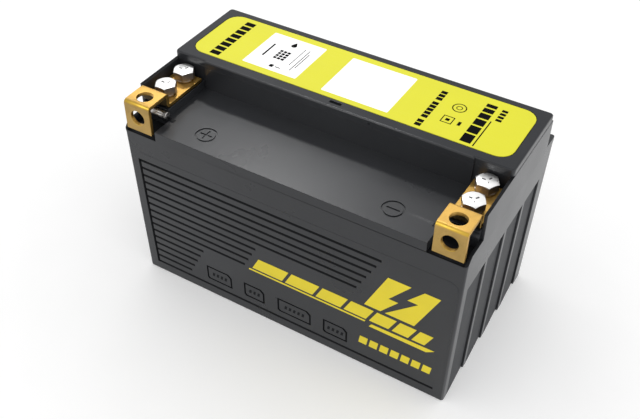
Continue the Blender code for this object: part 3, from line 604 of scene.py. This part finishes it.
def build_seal_beads():
    """The heat-sealed lines: between the jar and the cover, and between the ridge and the top cover."""
    outside = rounded((-74.985, -42.485), (74.985, 42.485), 1.0)
    inside = rounded((-73.6, -41.1), (73.6, 41.1), 0.6)
    ring_band("heat_seal_bead", outside, inside, JAR_TOP - SEAM_LAP, JAR_TOP + SEAM + SEAM_LAP)
    outside = rounded((-74.95, -6.55), (74.95, 33.55), 1.4)
    inside = rounded((-74.0, -5.8), (74.0, 32.8), 0.6)
    ring_band("lid_seal_bead", outside, inside, COVER_TOP - SEAM_LAP, COVER_TOP + SEAM + SEAM_LAP)


# ---------------------------------------------------------------------- fixings

def thread_mesh(bm, length, top, major, minor, pitch, around=28, per_turn=5):
    """A closed rod with a real helical ridge, whose top is at z = top."""
    rows = int(length / pitch * per_turn)
    rings = []
    for row in range(rows + 1):
        z = top - length + length * row / rows
        ring = []
        for step in range(around):
            turn = step / around
            phase = (z / pitch - turn) % 1.0
            ridge = 1.0 - abs(2.0 * phase - 1.0)
            end = min(1.0, min(row, rows - row) / per_turn)
            radius = minor + (major - minor) * ridge * end
            angle = 2.0 * math.pi * turn
            ring.append(bm.verts.new((radius * math.cos(angle), radius * math.sin(angle), z)))
        rings.append(ring)
    for low, high in zip(rings, rings[1:]):
        for step in range(around):
            following = (step + 1) % around
            bm.faces.new((low[step], low[following], high[following], high[step]))
    bm.faces.new(rings[0][::-1])
    bm.faces.new(rings[-1])


def hex_head(bm, flats, height, top_radius, slope=0.5):
    """Hexagon head whose corners are trimmed by a shallow turned cone, with a flat round top."""
    bottom, upper, rim, crown = [], [], [], []
    per_flat = HEAD_SIDES // 6
    for step in range(HEAD_SIDES):
        angle = 2.0 * math.pi * step / HEAD_SIDES
        sector = (step % per_flat) / per_flat * math.pi / 3 - math.pi / 6
        edge = flats / 2 / math.cos(sector)
        direction = Vector((math.cos(angle), math.sin(angle), 0))
        bottom.append(bm.verts.new(direction * edge))
        upper.append(bm.verts.new(direction * edge + Vector((0, 0, height - slope * (edge - top_radius)))))
        rim.append(bm.verts.new(direction * top_radius + Vector((0, 0, height - 0.2 * HEAD_EASE))))
        crown.append(bm.verts.new(direction * (top_radius - HEAD_EASE) + Vector((0, 0, height))))
    for first, second in ((bottom, upper), (upper, rim), (rim, crown)):
        for step in range(HEAD_SIDES):
            following = (step + 1) % HEAD_SIDES
            face = bm.faces.new((first[step], first[following], second[following], second[step]))
            face.material_index = 1 if first is bottom else 0
    bm.faces.new(bottom[::-1])
    bm.faces.new(crown)


def grade_marks(bm, height, turn):
    """Three short dark slabs round the top of the head, one of them faint, standing for a plain stamped
    strength mark; their dark colour is painted shade.
    """
    for index, (start, end, half) in enumerate(((0.7, 2.1, 0.32), (1.0, 1.7, 0.14), (0.7, 2.1, 0.32))):
        angle = turn + index * 2.0 * math.pi / 3
        place = Matrix.Translation((0, 0, height - 0.01 * MM)) @ Matrix.Rotation(angle, 4, "Z")
        add_slab(bm, rounded((start, -half), (end, half), 0.12, 3), place, 0.03 * MM)


def build_bolts():
    for pole in ("positive", "negative"):
        for number, degrees in MARK_TURNS.items():
            node = f"{pole}_bolt_{number}"
            low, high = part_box(node)
            centre = (low + high) / 2
            under = high.z - HEAD_HEIGHT
            top = HEAD_HEIGHT - HEAD_ROOM
            head, thread, marks = bmesh.new(), bmesh.new(), bmesh.new()
            hex_head(head, HEAD_FLATS, top, HEAD_TOP_RADIUS)
            thread_mesh(thread, under - low.z - THREAD_ROOM, 0.0, THREAD_MAJOR, THREAD_MINOR, THREAD_PITCH)
            grade_marks(marks, top, math.radians(degrees))
            place = Matrix.Translation((centre.x, centre.y, under))
            pieces = []
            for part, name, finish, angle in ((head, "hex_head", ZINC, 20.0),
                                              (thread, "bolt_thread", ZINC, 60.0),
                                              (marks, "head_dashes", STAMP_SHADE, 40.0)):
                part.transform(place)
                pieces.append(add_object(f"{pole}_{name}_{number}", part, finish, node,
                                         smooth=angle))
            # The hex flanks take the darker warm zinc: painted shade and brass reflection
            pieces[0].data.materials.append(ZINC_SIDE_SHADE)
            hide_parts(node)


# ---------------------------------------------------------------------- prints

def front_plane():
    """Local u runs along X, v up the drafted front face, and w out of it."""
    lean = math.atan2(DRAFT, SHELF_Z)
    along, up = Vector((1, 0, 0)), Vector((0, -math.sin(lean), math.cos(lean)))
    out = along.cross(up)
    place = Matrix((along, up, out)).transposed().to_4x4()
    place.translation = Vector((0, DRAFT - WALL_Y, 0)) + out * FRONT_PRINT_LIFT
    return place


def print_piece(name, rings, plane, material, thickness=FRONT_PRINT):
    bm = bmesh.new()
    for ring in rings:
        add_slab(bm, ring, plane, thickness)
    return add_object(name, bm, material)


def badge_rings():
    """A leaning badge split by a lightning flash."""
    width, height, left, low, lean = 21.5, 20.0, 36.5, 37.0, 0.46

    def spot(across, up):
        return (left + lean * height * up + width * across, low + height * up)

    left_part = [(0.0, 0.0), (0.33, 0.0), (0.47, 0.44), (0.28, 0.44), (0.45, 1.0), (0.0, 1.0)]
    right_part = [(0.42, 0.0), (1.0, 0.0), (1.0, 1.0), (0.70, 1.0), (0.56, 0.62), (0.77, 0.62)]
    return [[spot(*point) for point in part] for part in (left_part, right_part)]


def front_graphics():
    plane = front_plane()
    print_piece("front_badge", badge_rings(), plane, PRINT)
    bars, x = [], -16.0
    for width in (14.5, 13.0, 11.5, 10.0, 8.5, 7.0, 5.5):
        bars.append(slanted(x, 28.7, width, 6.6))
        x += width + 1.5
    print_piece("front_speed_bars", bars, plane, PRINT)
    rule = [slanted(-18.0, 26.9, 55.0, 0.9)]
    rule.append([(39.0, 25.2), (64.0, 25.2), (67.5, 27.6), (40.2, 27.0)])
    print_piece("front_rule", rule, plane, PRINT)
    row = [slanted(34.8 + 4.7 * index, 13.0, 3.6, 4.2, 0.15) for index in range(7)]
    print_piece("front_tick_row", row, plane, PRINT)


def front_border():
    """A fine raised line that frames the plain right part of the front."""
    half = 0.12
    rings = []
    path = [(-69.0, 68.0), (69.5, 68.0)] + arc((69.5, 64.5), 3.5, 90, 0, 6) + [(72.2, 10.0)]
    for (x0, z0), (x1, z1) in zip(path, path[1:]):
        along = Vector((x1 - x0, z1 - z0)).normalized()
        side = Vector((-along.y, along.x)) * half
        start, end = Vector((x0, z0)) - along * 0.05, Vector((x1, z1)) + along * 0.05
        rings.append([tuple(start - side), tuple(end - side), tuple(end + side), tuple(start + side)])
    print_piece("front_border_line", rings, front_plane(), PLASTIC, BORDER_PRINT)


def icon_glyphs():
    """Small generic shapes in the four frames low on the front, in the darkened plastic: painted shade
    standing for engraving.
    """
    plane = front_plane()
    rings = []
    for centre, width in ((-34.1, 13.1), (-16.0, 10.4), (4.0, 16.4), (23.8, 11.5)):
        count = max(3, int(width / 2.8))
        for index in range(count):
            x = centre + (index - (count - 1) / 2) * 2.1
            rings.append(slanted(x - 0.6, 11.9, 1.1, 1.9, 0.2))
    print_piece("front_icon_glyphs", rings, plane, SHADED, GLYPH_PRINT)


def bar(x, y, width, length):
    return [(x, y), (x + width, y), (x + width, y + length), (x, y + length)]


def frame_bars(x, y, size, line):
    """The four sides of a square outline."""
    inner = size - 2 * line
    return [bar(x, y, size, line), bar(x, y + size - line, size, line),
            bar(x, y + line, line, inner), bar(x + size - line, y + line, line, inner)]


def ring_quads(centre, outer, inner, steps=24):
    """A flat ring, as short quads."""
    outside, inside = arc(centre, outer, 0, 360, steps), arc(centre, inner, 0, 360, steps)
    return [[outside[i], outside[i + 1], inside[i + 1], inside[i]] for i in range(steps)]


def bar_row(x, width, lengths, gap, start=-0.8):
    """Bars side by side along the label's depth."""
    bars, y = [], start
    for length in lengths:
        bars.append(bar(x, y, width, length))
        y += length + gap
    return bars


def label_graphics():
    """Plain panels, bars, rules and pictogram shapes where the label is printed."""
    plane = Matrix.Translation((0, 0, LABEL_TOP + LABEL_LIFT))
    over = Matrix.Translation((0, 0, LABEL_TOP + PANEL_LIFT))

    def label_print(name, rings, height=plane, ink=INK):
        print_piece(name, rings, height, ink, LABEL_PRINT)

    label_print("label_info_panel", [rounded((-47.0, 1.2), (-21.5, 26.6), 0.6)], ink=PAPER)
    label_print("label_blank_panel", [rounded((-9.1, 0.3), (20.3, 26.8), 0.6)], ink=PAPER)
    label_print("label_left_blocks", [bar(-62.0, -0.8 + 3.65 * index, 4.6, 2.7) for index in range(8)])
    rating, y = [], -0.8
    for count in (2, 5, 3):
        rating += bar_row(32.0, 2.6, [1.9] * count, 0.5, y)
        y += 2.4 * count + 1.1
    label_print("label_rating_bars", rating)
    label_print("label_title_bars", bar_row(50.6, 4.4, (5.4, 4.7, 4.0, 3.4, 2.8, 2.2), 0.9))
    rule = [bar(56.0, -1.5, 0.5, 17.5)] + [bar(57.2, 17.2 + 2.2 * index, 2.4, 1.5) for index in range(4)]
    label_print("label_title_rule", rule)

    grid = [bar(-37.6 + 1.8 * column, 9.6 + 1.8 * row, 1.4, 1.4) for column in range(3) for row in range(4)]
    drop = [arc((-34.6, 21.6), 1.25, -220, 40, 10) + [(-34.6, 24.2)]]
    tap = [bar(-35.6, 3.4, 1.7, 1.9), bar(-33.0, 4.1, 2.4, 0.5)]
    rules = [bar(-42.6, 9.0, 0.8, 10.0), bar(-29.0, 8.4, 0.3, 13.5), bar(-26.9, 5.2, 0.35, 16.4),
             bar(-25.8, 7.6, 0.35, 11.4)]
    label_print("label_panel_icons", grid + drop + tap + rules, over)
    outlines = ring_quads((42.6, 17.6), 2.9, 2.45) + ring_quads((42.6, 17.6), 1.3, 0.95, 16)
    outlines += frame_bars(39.4, 6.2, 4.6, 0.4)
    outlines += [bar(40.9, 7.7, 1.6, 1.6), bar(46.0, 7.0, 1.2, 2.6)]
    label_print("label_outline_icons", outlines)


# ------------------------------------------------------------- camera and studio

def camera():
    data = bpy.data.cameras.new("camera")
    data.lens = CAMERA_LENS
    data.sensor_width = 36.0
    data.clip_start = 0.01
    azimuth, elevation = math.radians(CAMERA_AZIMUTH), math.radians(CAMERA_ELEVATION)
    back = Vector((math.sin(azimuth) * math.cos(elevation), -math.cos(azimuth) * math.cos(elevation),
                   math.sin(elevation)))
    eye = bpy.data.objects.new("camera", data)
    bpy.context.scene.collection.objects.link(eye)
    turn = Matrix.Rotation(math.radians(CAMERA_ROLL), 4, back)
    look = back.to_track_quat("Z", "Y").to_matrix().to_4x4()
    eye.matrix_world = Matrix.Translation(CAMERA_AIM + back * CAMERA_DISTANCE) @ turn @ look
    bpy.context.scene.camera = eye


def lamp(name, direction, distance, size, power):
    data = bpy.data.lights.new(name, "AREA")
    data.shape = "DISK"
    data.size = size
    data.energy = power
    light = bpy.data.objects.new(name, data)
    bpy.context.scene.collection.objects.link(light)
    towards = Vector(direction).normalized()
    turn = towards.to_track_quat("Z", "Y").to_matrix().to_4x4()
    light.matrix_world = Matrix.Translation(LAMP_AIM + towards * distance) @ turn
    return light


def build_floor():
    bm = bmesh.new()
    bmesh.ops.create_grid(bm, x_segments=1, y_segments=1, size=FLOOR_HALF)
    mesh = bpy.data.meshes.new("studio_floor")
    bm.to_mesh(mesh)
    bm.free()
    g = Graph("studio_floor_white")
    speckle = g.noise(40.0, detail=3.0)
    tone = g.ramp(speckle, ((0.3, shade(WHITE, 0.915)), (0.7, shade(WHITE, 0.93))))
    g.set(colour=tone, roughness=0.6, level=0.2)
    g.shader.inputs["Emission Color"].default_value = (*WHITE, 1.0)
    g.shader.inputs["Emission Strength"].default_value = FLOOR_GLOW
    mesh.materials.append(g.material)
    floor = bpy.data.objects.new("studio_floor", mesh)
    floor.location.z = -FLOOR_DROP
    bpy.context.scene.collection.objects.link(floor)
    return floor


def studio():
    floor = build_floor()
    world = bpy.context.scene.world or bpy.data.worlds.new("studio")
    bpy.context.scene.world = world
    world.use_nodes = True
    sky = world.node_tree.nodes["Background"]
    sky.inputs["Color"].default_value = (*WHITE, 1.0)
    sky.inputs["Strength"].default_value = WORLD_STRENGTH
    key = lamp("key", (-0.94, 0.70, 1.0), LAMP_DISTANCE, 0.16, KEY_POWER)
    glint = lamp("glint", (-0.52, 0.66, 1.0), LAMP_DISTANCE, 0.14, GLINT_POWER)
    rim = lamp("rim", (-0.374, -0.67, 0.64), LAMP_DISTANCE, 0.30, RIM_POWER)
    side = lamp("side", (1.0, 0.12, 0.05), SIDE_DISTANCE, 0.60, SIDE_POWER)
    glint.visible_diffuse = rim.visible_diffuse = False
    key.visible_glossy = side.visible_glossy = False
    spared = bpy.data.collections.new("not_lit_by_key")
    spared.objects.link(floor)
    for light in (key, glint, rim, side):
        light.light_linking.receiver_collection = spared
    spared.collection_objects[0].light_linking.link_state = "EXCLUDE"
    bpy.context.scene.view_settings.view_transform = "Standard"


def paint_hidden_parts():
    for index in range(1, 7):
        paint(f"positive_plates_{index}", BROWN_PASTE)
        paint(f"negative_plates_{index}", GREY_PASTE)
        paint(f"separator_{index}", GLASS_MAT)
        paint(f"valve_cap_{index}", RUBBER)
    for index in range(1, 6):
        paint(f"cell_weld_{index}", LEAD)
    for pole in ("positive", "negative"):
        paint(f"{pole}_post", LEAD)
        paint(f"{pole}_post_seal", RUBBER)
    paint("top_label", LABEL)


build_shells()
build_seal_beads()
build_bolts()
front_graphics()
front_border()
icon_glyphs()
label_graphics()
paint_hidden_parts()
studio()
camera()
